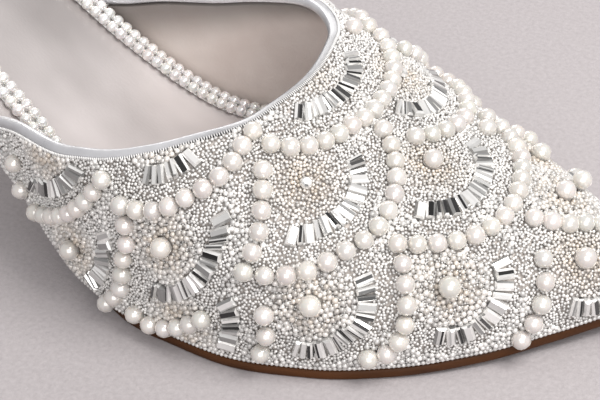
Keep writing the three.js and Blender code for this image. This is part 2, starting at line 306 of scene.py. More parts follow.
# One small shape repeated: place + axes * (shape * size), all copies in one array
def repeated(name, shape, places, axes, sizes):
    local, faces = shape
    spread = places[:, None] + np.einsum("kc,nc,ndc->nkd", local, sizes, axes)
    shift = np.arange(len(places))[:, None, None] * len(local)
    faces = [(f[None] + shift).reshape(-1, f.shape[1]) for f in faces]
    return meshFrom(name, spread.reshape(-1, 3), faces)


def tinted(mesh, domain, colours):
    layer = mesh.attributes.new("tint_and_reflection", "FLOAT_COLOR", domain)
    layer.data.foreach_set("color", np.c_[colours, np.ones(len(colours))].astype(np.float32).ravel())


# Painted shade of each point: the product of bands, each rising smoothly from its lowest to 1 as a
# measure of the place goes from start to end
def paintedShadePoints(mesh, *bands):
    places = np.empty(len(mesh.vertices) * 3, np.float32)
    mesh.vertices.foreach_get("co", places)
    shade = np.ones(len(mesh.vertices))
    for measure, (start, end, lowest) in bands:
        way = (measure(places.reshape(-1, 3) / mm) - start) / (end - start)
        shade *= lowest + (1 - lowest) * smoothStep(way)
    layer = mesh.attributes.new("shade", "FLOAT", "POINT")
    layer.data.foreach_set("value", shade.astype(np.float32))


# Ball of rings, each at a tilt in degrees from the pole, closed by a fan at each pole
def ballShape(around, *tilts):
    tilt, turn = np.radians(tilts)[:, None], roundAngles(around)
    rings = points(np.sin(tilt) * np.cos(turn), np.sin(tilt) * np.sin(turn), np.cos(tilt))
    ball = np.concatenate([[[0, 0, 1]], rings.reshape(-1, 3), [[0, 0, -1]]])
    index = 1 + np.arange(len(tilts) * around).reshape(len(tilts), around)
    after = np.roll(index, -1, 1)
    top = np.stack([np.zeros(around, int), index[0], after[0]], -1)
    sides = np.stack([index[:-1], index[1:], after[1:], after[:-1]], -1).reshape(-1, 4)
    foot = np.stack([np.full(around, len(ball) - 1), after[-1], index[-1]], -1)
    return ball, [top, sides, foot]


# Cut stone: rings of corners stepped inwards to the table's facets; levels are (across, along, up)
def stoneShape(corners, levels, tables):
    rings = [corners * (a, b) for a, b, _ in levels]
    stone = np.concatenate([np.c_[r, np.full(len(r), up)] for r, (_, _, up) in zip(rings, levels)])
    index = np.arange(len(stone)).reshape(len(levels), len(corners))
    after = np.roll(index, -1, 1)
    sides = np.stack([index[:-1], after[:-1], after[1:], index[1:]], -1).reshape(-1, 4)
    return stone, [sides, index[-1][np.array(tables)], index[:1, ::-1]]


# Axes for pieces on a face: across, along and off it
def axesOn(normal, along):
    along = unit(along - (along * normal).sum(-1, keepdims=True) * normal)
    return np.stack([np.cross(along, normal), along, normal], -1)


def addObject(name, data):
    made = bpy.data.objects.new(name, data)
    bpy.context.scene.collection.objects.link(made)
    return made


def addPiece(mesh, finish, slot, *stands):
    piece = addObject(mesh.name, mesh)
    mesh.materials.append(materials[finish])
    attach(piece, "root")
    if stands:
        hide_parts(*stands)
    print("made", piece.name, len(mesh.vertices), "points")
    return piece


# Piece of many round copies of one shape, each with its own tint where tints are given
def addCopies(name, shape, places, axes, sizes, tints, finish, slot, *stands):
    mesh = repeated(name, shape, places, axes, sizes)
    mesh.shade_smooth()
    if tints is not None:
        tinted(mesh, "POINT", np.repeat(tints, len(shape[0]), 0))
    addPiece(mesh, finish, slot, *stands)


# Camera, from the photograph: turn and lift of the view, roll, and focal length in pixels
view = dict(
    turn=30, lift=36, roll=-3.4, distance=407.3, focal=1946.5, target=(17.8, -7.0, 19.4), width=600,
    height=400, sensor=36, clip=(0.01, 20),
)
viewTurn, viewLift, viewRoll = (math.radians(view[k]) for k in ("turn", "lift", "roll"))
levelBack = np.array([math.sin(viewTurn), -math.cos(viewTurn), 0])
cameraBack = levelBack * math.cos(viewLift) + np.array([0, 0, math.sin(viewLift)])
levelRight = np.array([math.cos(viewTurn), math.sin(viewTurn), 0])
levelUp = np.cross(cameraBack, levelRight)
cameraRight = levelRight * math.cos(viewRoll) + levelUp * math.sin(viewRoll)
cameraUp = levelUp * math.cos(viewRoll) - levelRight * math.sin(viewRoll)
cameraPlace = np.array(view["target"]) + cameraBack * view["distance"]
camera = addObject("camera", bpy.data.cameras.new("camera"))
camera.data.sensor_width = view["sensor"]
camera.data.lens = view["focal"] / view["width"] * view["sensor"]
camera.data.clip_start, camera.data.clip_end = view["clip"]
cameraAxes = np.eye(4)
cameraAxes[:3, :3] = np.stack([cameraRight, cameraUp, cameraBack], 1)
cameraAxes[:3, 3] = cameraPlace * mm
camera.matrix_world = Matrix(cameraAxes.tolist())
bpy.context.scene.camera = camera
bpy.context.scene.view_settings.view_transform = "Standard"


# Points of the upper that the camera sees at pixels of the photograph: first step inside it, then halving
def pixelsOnUpper(pixels, start=300, stop=520, steps=1100, halvings=30):
    pixels = np.asarray(pixels, float)
    right = (pixels[:, :1] - view["width"] / 2) / view["focal"]
    up = (view["height"] / 2 - pixels[:, 1:]) / view["focal"]
    ray = unit(cameraRight * right + cameraUp * up - cameraBack)
    depth = np.linspace(start, stop, steps + 1)
    tried = cameraPlace + ray[:, None] * depth[:, None]
    inside = (outsideUpper(tried) < 0) & (tried[..., 2] > featherAt(tried[..., 0]))
    hit = inside.argmax(1)
    near, far = depth[np.maximum(hit - 1, 0)], depth[hit]
    for _ in range(halvings):
        middle = (near + far) / 2
        within = outsideUpper(cameraPlace + ray * middle[:, None]) < 0
        near, far = np.where(within, near, middle), np.where(within, middle, far)
    return cameraPlace + ray * far[:, None], inside.any(1)


# Materials: node helpers, the shared leather grain, then one function for each kind of finish
def setInputs(made, inputs):
    for name, value in inputs.items():
        made.inputs[name.replace("_", " ")].default_value = value
    return made


def node(tree, kind, **inputs):
    return setInputs(tree.nodes.new(kind), inputs)


def wire(tree, *links):
    for source, output, target, socket in links:
        tree.links.new(source.outputs[output], target.inputs[socket])


def finish(name, **inputs):
    material = bpy.data.materials.new(name)
    material.use_nodes = True
    return material, material.node_tree, setInputs(material.node_tree.nodes["Principled BSDF"], inputs)


def ownAttribute(tree, name):
    made = node(tree, "ShaderNodeAttribute")
    made.attribute_name = name
    return made


mottleSpan = (0.3, 0.7)  # stretch of a noise that tones and gloss follow


def twoTones(tree, look):
    tones = node(tree, "ShaderNodeValToRGB")
    for element, place, tone in zip(tones.color_ramp.elements, mottleSpan, (look["dark"], look["light"])):
        element.position, element.color = place, (*tone, 1)
    return tones


# Colour times shade, each given as a node and its output; 6, 7 and 2 are a Mix node's colour sockets
def darkened(tree, colour, shade):
    mix = node(tree, "ShaderNodeMix")
    mix.data_type, mix.blend_type = "RGBA", "MULTIPLY"
    mix.inputs["Factor"].default_value = 1
    wire(tree, (*colour, mix, 6), (*shade, mix, 7))
    return mix, 2


# Pebbled height and streaky mottling; height is pebbles * their share + fine noise
def grainGroup(pebbleShare=0.6):
    group = bpy.data.node_groups.new("leather_grain", "ShaderNodeTree")
    group.interface.new_socket("Vector", in_out="INPUT", socket_type="NodeSocketVector")
    for name, way in (("Pebble", "INPUT"), ("Streak", "INPUT"),
                      ("Height", "OUTPUT"), ("Mottle", "OUTPUT")):
        group.interface.new_socket(name, in_out=way, socket_type="NodeSocketFloat")
    given, put = node(group, "NodeGroupInput"), node(group, "NodeGroupOutput")
    pebble = node(group, "ShaderNodeTexVoronoi")
    pebble.feature = "SMOOTH_F1"
    fine = node(group, "ShaderNodeTexNoise", Detail=4.0, Roughness=0.6)
    streak = node(group, "ShaderNodeTexNoise", Detail=3.0, Roughness=0.55)
    blend = node(group, "ShaderNodeMath")
    blend.operation = "MULTIPLY_ADD"
    blend.inputs[1].default_value = pebbleShare
    for texture, scale in ((pebble, "Pebble"), (fine, "Pebble"), (streak, "Streak")):
        wire(group, (given, "Vector", texture, "Vector"), (given, scale, texture, "Scale"))
    wire(group, (pebble, "Distance", blend, 0), (fine, "Fac", blend, 2),
         (blend, 0, put, "Height"), (streak, "Fac", put, "Mottle"))
    return group


leatherGrain = grainGroup()


# Leather: grain in the bump, mottling in colour and gloss, and painted shade from the mesh where it has
# some
def leather(name, look):
    material, tree, shader = finish(name, Metallic=look["metal"], Coat_Weight=look["coat"],
                                    Coat_Roughness=look["coatRough"], Specular_IOR_Level=look["shine"])
    where = node(tree, "ShaderNodeTexCoord")
    stretch = node(tree, "ShaderNodeMapping", Scale=look["stretch"])
    grain = node(tree, "ShaderNodeGroup")
    grain.node_tree = leatherGrain
    setInputs(grain, {"Pebble": look["pebble"], "Streak": look["streak"]})
    colour = twoTones(tree, look)
    gloss = node(tree, "ShaderNodeMapRange", From_Min=mottleSpan[0], From_Max=mottleSpan[1],
                 To_Min=look["rough"][0], To_Max=look["rough"][1])
    bump = node(tree, "ShaderNodeBump", Strength=look["bump"], Distance=look["depth"])
    shown = colour, "Color"
    # painted shade: the colour times the shade painted on the mesh
    if look["paintedShade"]:
        shown = darkened(tree, shown, (ownAttribute(tree, "shade"), "Fac"))
    wire(tree, (where, "Object", stretch, "Vector"), (stretch, "Vector", grain, "Vector"),
         (grain, "Mottle", colour, "Fac"), (grain, "Mottle", gloss, "Value"),
         (grain, "Height", bump, "Height"), (bump, "Normal", shader, "Normal"),
         (*shown, shader, "Base Color"), (gloss, "Result", shader, "Roughness"))
    return material


# Beads and stones: each one's tint, a little clouded, with the given gloss; a cut stone's is painted
# reflection
def jewel(name, look, cloudSpan=(0.35, 0.65)):
    material, tree, shader = finish(name, Metallic=look["metal"], Roughness=look["rough"],
                                    Coat_Weight=look["coat"], Coat_Roughness=look["coatRough"],
                                    **look.get("lustre", {}))
    where = node(tree, "ShaderNodeTexCoord")
    cloud = node(tree, "ShaderNodeTexNoise", Scale=look["cloud"], Detail=2.0)
    shade = node(tree, "ShaderNodeMapRange", From_Min=cloudSpan[0], From_Max=cloudSpan[1],
                 To_Min=look["shade"], To_Max=1.0)
    shown = darkened(tree, (ownAttribute(tree, "tint_and_reflection"), "Color"), (shade, "Result"))
    wire(tree, (where, "Object", cloud, "Vector"), (cloud, "Fac", shade, "Value"),
         (*shown, shader, "Base Color"))
    return material


leatherUsual = dict(
    metal=0.0, coat=0.0, coatRough=0.25, shine=0.5, paintedShade=False, stretch=(1, 1, 1), depth=0.0002,
)
leatherLooks = dict(
    lining=dict(dark=(0.66, 0.572, 0.53), light=(0.79, 0.715, 0.67), rough=(0.42, 0.6), coat=0.05,
        paintedShade=True, pebble=1500, streak=60, bump=0.25),
    binding=dict(dark=(0.58, 0.58, 0.6), light=(0.72, 0.72, 0.74), rough=(0.26, 0.4), metal=0.55,
        coat=0.2, paintedShade=True, pebble=1900, streak=120, bump=0.22),
    insole=dict(dark=(0.48, 0.44, 0.432), light=(0.73, 0.677, 0.668), rough=(0.3, 0.44), metal=0.25,
        coat=0.1, paintedShade=True, pebble=1500, streak=30, stretch=(0.45, 1, 1), bump=0.18),
    sole=dict(dark=(0.032, 0.0105, 0.0022), light=(0.08, 0.026, 0.005), rough=(0.45, 0.65), shine=0.25,
        pebble=1100, streak=70, stretch=(0.4, 1, 3), bump=0.3),
    heel=dict(dark=(0.5, 0.48, 0.48), light=(0.64, 0.61, 0.61), rough=(0.28, 0.42), metal=0.5, coat=0.15,
        pebble=1500, streak=40, stretch=(1, 1, 0.5), bump=0.25),
    lift=dict(dark=(0.05, 0.032, 0.022), light=(0.09, 0.06, 0.045), rough=(0.6, 0.8), pebble=2400,
        streak=200, bump=0.35),
    cloth=dict(dark=(0.42, 0.38, 0.35), light=(0.6, 0.555, 0.52), rough=(0.5, 0.7), metal=0.2,
        pebble=1300, streak=300, bump=0.5),
    thread=dict(dark=(0.7, 0.69, 0.68), light=(0.88, 0.87, 0.86), rough=(0.4, 0.6), metal=0.2,
        pebble=5000, streak=900, bump=0.3),
)
jewelLooks = dict(
    pearl=dict(metal=0.4, rough=0.24, coat=1.0, coatRough=0.05, cloud=500, shade=0.94,
        lustre=dict(Subsurface_Weight=0.12, Subsurface_Radius=(1.0, 0.7, 0.5), Subsurface_Scale=0.0008,
            Sheen_Weight=1.0, Sheen_Roughness=0.3, Sheen_Tint=(1.0, 0.95, 0.88, 1))),
    seed_bead=dict(metal=0.32, rough=0.36, coat=0.6, coatRough=0.05, cloud=2600, shade=0.8),
    cut_stone=dict(metal=0.5, rough=0.24, coat=0.6, coatRough=0.03, cloud=300, shade=0.9),
)
materials = {name: leather(name + "_finish", leatherUsual | look) for name, look in leatherLooks.items()}
materials.update({name: jewel(name + "_finish", look) for name, look in jewelLooks.items()})
print("materials ready")

# Upper: the cloth that the beads are sewn on, and the lining inside it
upperForm = dict(bed=0.3, middle=1.3, rows=110, columns=132, shade=(0.5, 11, 0.33))
bed, between, inside = (upperGrid(inset, upperForm["rows"], upperForm["columns"])
                        for inset in (upperForm["bed"], upperForm["middle"], wall))
addPiece(shell("upper_cloth", bed, between), "cloth", "beaded_cloth", "upper")
lining = shell("upper_lining", between, inside)
# Painted shade: the lining darkens towards the collar, where the binding overhangs it
paintedShadePoints(lining, (lambda p: edgeRoom(p)[0], upperForm["shade"]))
addPiece(lining, "lining", "beaded_cloth", "upper")

# Collar binding: an oval roll carried along the middle of the collar's rim, its lower outer side let
# down over the edge of the cloth; painted shade makes it darker under that lip and at the throat
binding = dict(
    width=2.2, height=1.7, lipOut=0.62, lipDown=0.85, steps=220, sides=20, endRoom=0.03,
    lipPaintedShade=(0.0, 0.5, 0.12), throatPaintedShade=(-17, -1, 0.5),
)
along = np.linspace(-1, 1, binding["steps"] + 1) * (1 - binding["endRoom"])
height, side = acrossUpper(along)
rimOut, rimIn = (upperPoint(collarAt(height), height, side, inset) for inset in (0, wall))
rim, outward = (rimOut + rimIn) / 2, unit(rimOut - rimIn)
rimRun = unit(np.gradient(rim, axis=0))
rimOff = unit(np.cross(outward, rimRun))
rollTurn = roundAngles(binding["sides"])
lip = 2 * np.maximum(0, -np.cos(rollTurn)) * np.maximum(0, -np.sin(rollTurn))
rollUp = last["seam"] + binding["height"] / 2 * (1 + np.sin(rollTurn)) - binding["lipDown"] * lip
rollOut = -np.cos(rollTurn) * binding["width"] / 2 + binding["lipOut"] * lip
piping = bar("collar_binding", carried(rim, rimOff, rollUp, outward, rollOut))
# Painted shade: dark under the lip, and grey at the throat where the roll is turned from the light
paintedShadePoints(piping, (lambda p: -edgeRoom(ontoUpper(p))[0], binding["lipPaintedShade"]),
            (lambda p: -p[:, 0], binding["throatPaintedShade"]))
addPiece(piping, "binding", "silver_binding", "topline_binding")

# Sole layers: breadth from an outline, a section with rounded edges and a crowned top, less crowned where
# the layer is narrow
slabMesh = dict(stations=220, flat=15, bend=7, crisp=30, crownHalf=12)


def slab(name, half, low, high, heelEnd, tip, edge, crown=0):
    even = np.linspace(0, 1, slabMesh["stations"] + 1)
    x = heelEnd + (tip - heelEnd) * (even + (1 - np.cos(np.pi * even)) / 2) / 2
    wide = half(x)[:, None]
    wide[[0, -1]] = 0
    flat, edgeSide = np.linspace(-1, 1, slabMesh["flat"]), np.ones(slabMesh["bend"])
    bend = np.linspace(-np.pi / 2, np.pi / 2, slabMesh["bend"] + 2)[1:-1]
    side = np.concatenate([flat, edgeSide, -flat, -edgeSide])
    roundOut = np.concatenate([0 * flat, np.cos(bend), 0 * flat, np.cos(bend)])
    upward = np.concatenate([0 * flat - 1, np.sin(bend), 0 * flat + 1, -np.sin(bend)])
    y = centreAt(x)[:, None] + side * (np.maximum(wide - edge, 0) + roundOut * np.minimum(edge, wide))
    z = low(x)[:, None] + (high(x) - low(x))[:, None] * (1 + upward) / 2
    bulge = crown * (1 - side ** 2) * (upward == 1) * np.minimum(1, wide / slabMesh["crownHalf"])
    grid = points(x[:, None], y, z + bulge)
    return sewn(name, [np.concatenate([grid, grid[:, :1]], 1)], slabMesh["crisp"])


soleForm = dict(edge=0.5)


def outsoleHalf(x):
    return outlineHalf(x, tuckAt(x))


outsoleHeel = closingPlace(outsoleHalf, heelBack)
outsole = slab("leather_sole", outsoleHalf, soleAt, outsoleTop, outsoleHeel, toeEnd, soleForm["edge"])
addPiece(outsole, "sole", "sole_leather", "outsole")

# Insole: padded and covered, drawn in towards its tip, with painted shade darker towards the heel
insoleForm = dict(room=0.4, toeRoom=5, ease=40, edge=1.3, crown=0.5, shade=(-68, -34, 0.62))
insoleInset = wall + insoleForm["room"]


def insoleHalf(x):
    ease = smoothStep((np.asarray(x) - toeEnd + insoleForm["ease"]) / insoleForm["ease"])
    return outlineHalf(x, insoleInset + insoleForm["toeRoom"] * ease)


insoleEnds = closingPlace(insoleHalf, heelBack), closingPlace(insoleHalf, toeEnd)
pad = slab("padded_insole", insoleHalf, featherAt, insoleAt, *insoleEnds,
           insoleForm["edge"], insoleForm["crown"])
# Painted shade: the insole darkens towards the heel, where less light reaches it
paintedShadePoints(pad, (lambda p: p[:, 0], insoleForm["shade"]))
addPiece(pad, "insole", "insole_leather", "insole")

# Lasting margin: the cloth turned under between the feather line and the sole, tapered at the wing ends
margin = dict(inset=0.2, ahead=1, taper=4, gap=0.05, edge=0.1)
marginStart = collarAt(0) - margin["ahead"]


def marginHalf(x):
    return outlineHalf(x, margin["inset"]) * np.sqrt(np.clip((x - marginStart) / margin["taper"], 0, 1))


addPiece(slab("lasting_margin", marginHalf, lambda x: outsoleTop(x) + margin["gap"],
              lambda x: featherAt(x) - margin["gap"], marginStart, closingPlace(marginHalf, toeEnd),
              margin["edge"]), "thread", "beaded_cloth")

# Heel: rounded rings that widen from lift to seat, the top following the sole and closed by smaller rings
heel = dict(
    centreY=6, seatX=-125.5, seatHalf=(23.5, 23.5), liftX=-131, liftHalf=(12, 13), lift=5, bevel=0.6,
    soft=0.3, round=2.1, flare=2.2, levels=30, sides=64, closing=(0.98, 0.8, 0.55, 0.3, 0.1),
    liftMiddle=0.5,
)


def heelRing(share, scale):
    turn = roundAngles(heel["sides"])
    cos, sin = np.cos(turn), np.sin(turn)
    grown = share ** heel["flare"]
    length, breadth = ((1 - grown) * a + grown * b for a, b in zip(heel["liftHalf"], heel["seatHalf"]))
    power = 2 / heel["round"]
    x = (1 - grown) * heel["liftX"] + grown * heel["seatX"]
    x = x + scale * length * np.sign(cos) * np.abs(cos) ** power
    y = heel["centreY"] + scale * breadth * np.sign(sin) * np.abs(sin) ** power
    return x, y


heelLevels, closing = np.linspace(0, 1, heel["levels"] + 1), np.array(heel["closing"])
heelShare = np.concatenate([heelLevels, np.ones_like(closing)])[:, None]
heelScale = np.concatenate([np.ones_like(heelLevels), closing])[:, None]
heelX, heelY = heelRing(heelShare, heelScale)
heelFoot = heel["lift"] + last["seam"]
heelZ = heelFoot + (soleAt(heelX) - last["seam"] - heelFoot) * heelShare
addPiece(bar("heel_block", points(heelX, heelY, heelZ)), "heel", "heel_cover", "heel")

# The lift's profile up from its foot: share of its size, and height
bevel, liftTop, soft = heel["bevel"], heel["lift"], heel["soft"]
cut, middle = bevel / heel["liftHalf"][0], heel["liftMiddle"]
liftProfile = np.array([(middle, 0), (1 - cut, 0), (1 - cut * soft, bevel * soft), (1, bevel),
                        (1, liftTop - bevel), (1 - cut, liftTop), (middle, liftTop)])
liftX, liftY = heelRing(np.zeros((len(liftProfile), 1)), liftProfile[:, :1])
liftRings = points(liftX, liftY, liftProfile[:, 1:])
addPiece(bar("heel_top_lift", liftRings), "lift", "lift_rubber", "heel_lift")
print("solid pieces done")

# Scallops of the beadwork, from the photograph: the pixel of each middle, and the pearl arc round it
# as angles (degrees down from the right) and reaches (pixels); skip is a stretch without pearls
scallops = dict(
    throat=dict(at=(299, 65), angle=(-27, -5, 9, 32, 57, 84, 110), reach=(74, 88, 92, 87, 81, 84, 87)),
    instep=dict(at=(431, 164), angle=(-38, -14, 2, 32, 55, 85, 113), reach=(67, 80, 89, 92, 87, 82, 89)),
    toe=dict(at=(583, 260), angle=(-30, 0, 40, 80, 110), reach=(64, 74, 80, 78, 80)),
    toeTop=dict(at=(563, 196), angle=(42, 52, 79, 114, 140), reach=(48, 39, 32, 32, 40)),
    middle=dict(at=(305, 184), angle=(-34, -3, 33, 61, 90, 125), reach=(91, 90, 85, 79, 87, 105)),
    collar=dict(at=(159, 126), angle=(5, 17, 31, 48, 64, 91, 114), reach=(93, 85, 82, 79, 77, 83, 85)),
    low=dict(at=(311, 303), angle=(-33, -8, 15, 28, 42), reach=(103, 95, 95, 91, 77)),
    toeSide=dict(at=(448, 287), angle=(-16, -4, 22, 50), reach=(97, 95, 89, 81)),
    side=dict(at=(165, 245), angle=(-37, -20, -8, 18, 64, 87, 112), reach=(121, 102, 95, 83, 81, 80, 71),
        skip=(25, 57)),
    wing=dict(at=(75, 247), angle=(-24, -6, 13, 44, 56), reach=(59, 56, 53, 64, 64)),
    wingTop=dict(at=(45, 150), angle=(25, 39, 65, 94), reach=(67, 66, 67, 60)),
    waist=dict(at=(183, 322), angle=(-7, 6.5, 19), reach=(83, 85, 83.5), pearls=3),
    wingEnd=dict(at=(-28, 188), angle=(-30, 0, 20), reach=(54, 54, 54)),
)
beadwork = dict(
    onRidge=("throat", "instep", "toe", "toeTop"), crystal=("middle",), fanless=("toeTop",),
    bare=("throat", "collar", "wingTop", "waist", "wingEnd"), mirrorY=-0.5, farFrom=3, tipRoom=1.5,
    steps=200, fewest=5,
)
# A room is the least way to the collar and to the feather line; a ball is the count of a bead's sides
# and the tilts of its rings
pearl = dict(
    size=4.1, step=4.0, lift=1.3, room=(1.6, 1.2), apart=0.86, spread=(0.96, 1.03), centre=4.5,
    centreLift=1.5, tone=(0.76, 0.725, 0.685), light=(0.94, 1.06), hue=(0.985, 1.015),
    ball=(12, 28, 58, 88, 125),
)
# A baguette's rim and table tones are painted reflection: facets tinted bright and dark as glass reflects
baguette = dict(
    share=0.585, span=(0.85, 1.15), angles=(-30, 112), most=40, narrow=(1.0, 1.4), wide=(1.8, 2.4),
    wideShare=0.45, gap=0.22, length=4.0, height=1.15, lift=0.15, room=(2.4, 2.2), apart=1.05,
    fromPearl=3.1, fromMiddle=4.4, tilt=0.12, sway=0.05, rim=(0.3, 0.65, 0.85, 0.95, 1.0),
    table=(0.005, 0.02, 0.08, 0.3, 0.5, 0.62, 0.75, 0.85), parting=0.2,
    levels=((1, 1, -0.6), (1, 1, 0.55), (0.54, 0.88, 1.0)),
)
# A crystal's rim and table tones are painted reflection too
chaton = dict(
    size=1.4, lift=0.5, turn=0.39, rim=(0.25, 0.6, 0.9), table=(0.9,), sides=8,
    levels=((0.5, 0.5, -0.8), (1, 1, 0.1), (0.82, 0.82, 0.55), (0.5, 0.5, 0.8)),
)
# Painted reflection on cut stones: the share whose table is all one tone, and a tint the tones are
# multiplied by
stoneReflectionTint = dict(alike=0.6, tone=(1.0, 0.99, 0.97))


# Path on the upper along a scallop's arc at a share of its reach, and where the camera sees it
def arcOnUpper(scallop, share, angles):
    reach = smoothThrough(scallop["angle"], scallop["reach"])(angles) * share
    way = np.stack([np.cos(np.radians(angles)), np.sin(np.radians(angles))], -1)
    return pixelsOnUpper(np.array(scallop["at"]) + reach[:, None] * way)


def lengthAlong(path):
    return np.concatenate([[0], np.cumsum(np.linalg.norm(np.diff(path, axis=0), axis=1))])


# What is given at a path's points, read off at lengths along it
def readAlong(path, values, at):
    return np.stack([np.interp(at, lengthAlong(path), values[:, k]) for k in range(3)], -1)


def spaced(path, step, count=None):
    whole = lengthAlong(path)[-1]
    return readAlong(path, path, np.linspace(0, whole, count or max(2, int(round(whole / step)) + 1)))


def onCloth(p, room):
    toCollar, toFeather = edgeRoom(p)
    return (toCollar > room[0]) & (toFeather > room[1]) & (p[..., 0] < toeEnd - beadwork["tipRoom"])


# The flank's beadwork appears again on the far side, mirrored and set on the face there
def farSide(p):
    return ontoUpper(mirrored(p, beadwork["mirrorY"]))


# Keeps points in the order given, dropping each that comes too close to a kept one
def thinned(p, room):
    near = distances(p, p) < room
    keep = np.ones(len(p), bool)
    for i in range(len(p)):
        if keep[i]:
            keep[i + 1:] &= ~near[i, i + 1:]
    return keep


def isOneOf(name, names):
    return name.removesuffix("Far") in names


arcs, fans, middles = [], [], {}
for name, scallop in scallops.items():
    angles = np.linspace(scallop["angle"][0], scallop["angle"][-1], beadwork["steps"])
    path, seen = arcOnUpper(scallop, 1, angles)
    pearls = path[:0]
    if seen.sum() > beadwork["fewest"]:
        pearls = spaced(path[seen], pearl["step"], scallop.get("pearls"))
    if "skip" in scallop:
        pearlAngle = angles[distances(pearls, path).argmin(1)]
        pearls = pearls[(pearlAngle < scallop["skip"][0]) | (pearlAngle > scallop["skip"][1])]
    # baguettes of random widths laid edge to edge along the fan, pointing away from the middle
    angles = np.linspace(*baguette["angles"], beadwork["steps"])
    (inner, innerSeen), (outer, outerSeen) = (arcOnUpper(scallop, baguette["share"] * span, angles)
                                              for span in baguette["span"])
    seen = innerSeen & outerSeen
    stones = np.zeros((0, 7))  # place, way, width
    if seen.sum() > beadwork["fewest"] and name not in beadwork["fanless"]:
        fan = ontoUpper((inner[seen] + outer[seen]) / 2)
        most = baguette["most"]
        isWide = dice.random(most) < baguette["wideShare"]
        wide, narrow = (dice.uniform(*baguette[k], most) for k in ("wide", "narrow"))
        widths = np.where(isWide, wide, narrow)
        ends = np.cumsum(widths + baguette["gap"])
        fits = ends < lengthAlong(fan)[-1]
        at = (ends - widths / 2)[fits]
        away = readAlong(fan, (outer - inner)[seen], at)
        stones = np.c_[readAlong(fan, fan, at), away, widths[fits]]
    centre, seen = pixelsOnUpper([scallop["at"]])
    if seen[0]:
        middles[name] = centre[0]
    arcs.append(pearls)
    fans.append(stones)
    if name not in beadwork["onRidge"]:
        arcs.append(farSide(pearls))
        fans.append(np.c_[farSide(stones[:, :3]), stones[:, 3:6] * (1, -1, 1), stones[:, 6]])
        if seen[0]:
            middles[name + "Far"] = farSide(centre)[0]


def onFarSide(k):
    return len(arcs[k]) and arcs[k][:, 1].mean() > beadwork["farFrom"]


nearFirst = sorted(range(len(arcs)), key=onFarSide)
arcPlace = np.concatenate([arcs[k] for k in nearFirst])
arcPlace = arcPlace[onCloth(arcPlace, pearl["room"])]
arcPlace = arcPlace[thinned(arcPlace, pearl["size"] * pearl["apart"])]
allMiddles = np.array(list(middles.values()))
fan = np.concatenate([fans[k] for k in nearFirst])
fan = fan[onCloth(fan[:, :3], baguette["room"])]
fan = fan[distances(fan[:, :3], arcPlace).min(1) > baguette["fromPearl"]]
fan = fan[distances(fan[:, :3], allMiddles).min(1) > baguette["fromMiddle"]]
fan = fan[thinned(fan[:, :3], baguette["apart"])]
fanPlace, fanAway, fanWidth = fan[:, :3], unit(fan[:, 3:6]), fan[:, 6:]
pearlless = beadwork["bare"] + beadwork["crystal"]
pearlMiddle = np.array([p for name, p in middles.items() if not isOneOf(name, pearlless)])
stoneMiddle = np.array([p for name, p in middles.items() if isOneOf(name, beadwork["crystal"])])
print("pearls", len(arcPlace), "centres", len(pearlMiddle), "stones", len(fanPlace))

pearlShape = ballShape(*pearl["ball"])


def addPearls(name, places, axes, sizes, tone, *stands):
    light = dice.uniform(*pearl["light"], (len(places), 1))
    tints = np.array(tone) * light * dice.uniform(*pearl["hue"], places.shape)
    sizes = np.repeat(sizes / 2, 3, 1)
    addCopies(name, pearlShape, places, axes, sizes, tints, "pearl", "pearl", *stands)


def pearlsOn(name, places, size, lift):
    normal = upperNormal(places)
    axes = axesOn(normal, unit(dice.normal(size=places.shape)))
    sizes = size * dice.uniform(*pearl["spread"], (len(places), 1))
    addPearls(name, places + normal * lift, axes, sizes, pearl["tone"])


pearlsOn("scallop_pearls", arcPlace, pearl["size"], pearl["lift"])
pearlsOn("centre_pearls", pearlMiddle, pearl["centre"], pearl["centreLift"])

# A baguette's table is parted lengthwise into two facets; a centre crystal is even-sided
parting = baguette["parting"]
oblong = np.array([(-1, -1), (parting, -1), (1, -1), (1, 1), (parting, 1), (-1, 1)], float)
baguetteShape = stoneShape(oblong, baguette["levels"], [(0, 1, 4, 5), (1, 2, 3, 4)])
corner = roundAngles(chaton["sides"]) + chaton["turn"]
evenSided = np.stack([np.cos(corner), np.sin(corner)], -1)
chatonShape = stoneShape(evenSided, chaton["levels"], [range(chaton["sides"])])


# A cut stone's facets show bright and dark by turns: each facet gets a painted reflection, a tone of its
# own; on some stones the table is all one
def addStones(name, shape, places, axes, sizes, rimReflectionTones, tableReflectionTones):
    mesh = repeated(name, shape, places, axes, sizes)
    mesh.shade_flat()
    rim, table, foot = (dice.choice(tones, (len(places), len(faces)))
                        for tones, faces in zip((rimReflectionTones, tableReflectionTones, rimReflectionTones), shape[1]))
    table = np.where(dice.random((len(places), 1)) < stoneReflectionTint["alike"], table[:, :1], table)
    tones = np.concatenate([rim.ravel(), table.ravel(), foot.ravel()])
    tinted(mesh, "FACE", tones[:, None] * np.array(stoneReflectionTint["tone"]))
    addPiece(mesh, "cut_stone", "beaded_cloth")


fanNormal = unit(upperNormal(fanPlace) + dice.normal(0, baguette["tilt"], fanPlace.shape))
fanAway = unit(fanAway + dice.normal(0, baguette["sway"], fanAway.shape))
fanAway = fanAway * dice.choice([-1, 1], (len(fanAway), 1))
fanSizes = np.c_[fanWidth / 2, np.tile([baguette["length"] / 2, baguette["height"]], (len(fan), 1))]
addStones("baguette_stones", baguetteShape, fanPlace + baguette["lift"] * fanNormal,
          axesOn(fanNormal, fanAway), fanSizes, baguette["rim"], baguette["table"])
middleNormal = upperNormal(stoneMiddle)
addStones("centre_crystals", chatonShape, stoneMiddle + chaton["lift"] * middleNormal,
          axesOn(middleNormal, np.roll(middleNormal, 1, -1)),
          np.full((len(stoneMiddle), 3), chaton["size"]), chaton["rim"], chaton["table"])

